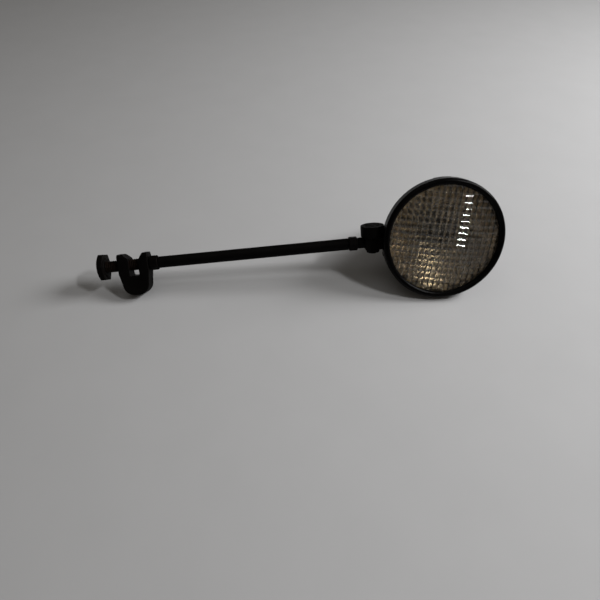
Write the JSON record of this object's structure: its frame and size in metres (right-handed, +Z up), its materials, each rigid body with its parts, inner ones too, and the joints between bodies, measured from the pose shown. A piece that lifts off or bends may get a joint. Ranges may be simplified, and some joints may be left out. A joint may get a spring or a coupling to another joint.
{
  "type": "tractor lamp",
  "caption": "Vintage tractor work lamp: a round fluted-glass lamp head on a swivel knuckle at the end of a straight arm with a screw clamp.",
  "frame": {"origin": "middle of the lamp's footprint box on the floor, as it lies on its rim, bucket and clamp", "axes": "+X along the arm towards the lamp head, +Y from the glass towards the back of the bucket, +Z up"},
  "size_m": [0.4394, 0.1228, 0.1214],
  "materials": {
    "black_paint": "worn satin",
    "black_enamel": "gloss",
    "dark_steel": "tarnished",
    "rusty_steel": "rusted",
    "black_rubber": "matte",
    "lens_glass": "pressed flutes",
    "bulb_glass": "clear",
    "polished_aluminium": "polished",
    "brass": "tarnished",
    "brown_fibre": "matte",
    "filament_wire": "drawn wire"
  },
  "bodies": {
    "clamp": {"clamp_body": "black_paint"},
    "screw": {"screw_shank": "rusty_steel"},
    "knob": {"screw_knob": "dark_steel"},
    "arm": {"arm_rod": "black_paint", "clamp_jam_nut": "dark_steel", "knuckle_jam_nut": "dark_steel"},
    "knuckle": {"arm_eye": "black_paint", "pivot_bolt": "dark_steel", "pivot_washer": "dark_steel", "pivot_nut": "dark_steel"},
    "lamp_head": {"lamp_bracket": "black_paint", "bracket_rivets": "dark_steel", "housing_bowl": "black_paint", "retaining_rim": "black_enamel", "lens_gasket": "black_rubber", "lens": "lens_glass", "reflector": "polished_aluminium", "bulb_socket": "brass", "socket_insulator": "brown_fibre", "contact_stud": "brass", "terminal_nut": "brass", "bulb_base": "brass", "bulb_glass": "bulb_glass", "filament": "filament_wire", "cable_grommet": "black_rubber"}
  },
  "joints": [
    {"name": "screw_travel", "type": "slide", "parent": "clamp", "child": "screw", "axis": [0.9977, 0, 0.0681], "range_m": [-0.0097, 0]},
    {"name": "screw_turn", "type": "hinge", "parent": "screw", "child": "knob", "pos_m": [-0.21878, -0.01282, 0.02823], "axis": [0.9977, 0, 0.0681], "range_deg": [-1800, 0]},
    {"name": "arm_turn", "type": "hinge", "parent": "clamp", "child": "arm", "pos_m": [-0.1647, -0.01282, 0.03193], "axis": [0.9977, 0, 0.0681], "range_deg": [-180, 180]},
    {"name": "knuckle_turn", "type": "hinge", "parent": "arm", "child": "knuckle", "pos_m": [0.08202, -0.01282, 0.04878], "axis": [0.9977, 0, 0.0681], "range_deg": [-90, 90]},
    {"name": "lamp_swing", "type": "hinge", "parent": "knuckle", "child": "lamp_head", "pos_m": [0.08202, -0.01282, 0.04878], "axis": [-0.0611, 0.4417, 0.8951], "range_deg": [-80, 80]}
  ],
  "couplings": [
    {"joint": "screw_turn", "follows": "screw_travel", "rad_per_m": 3215.8}
  ]
}
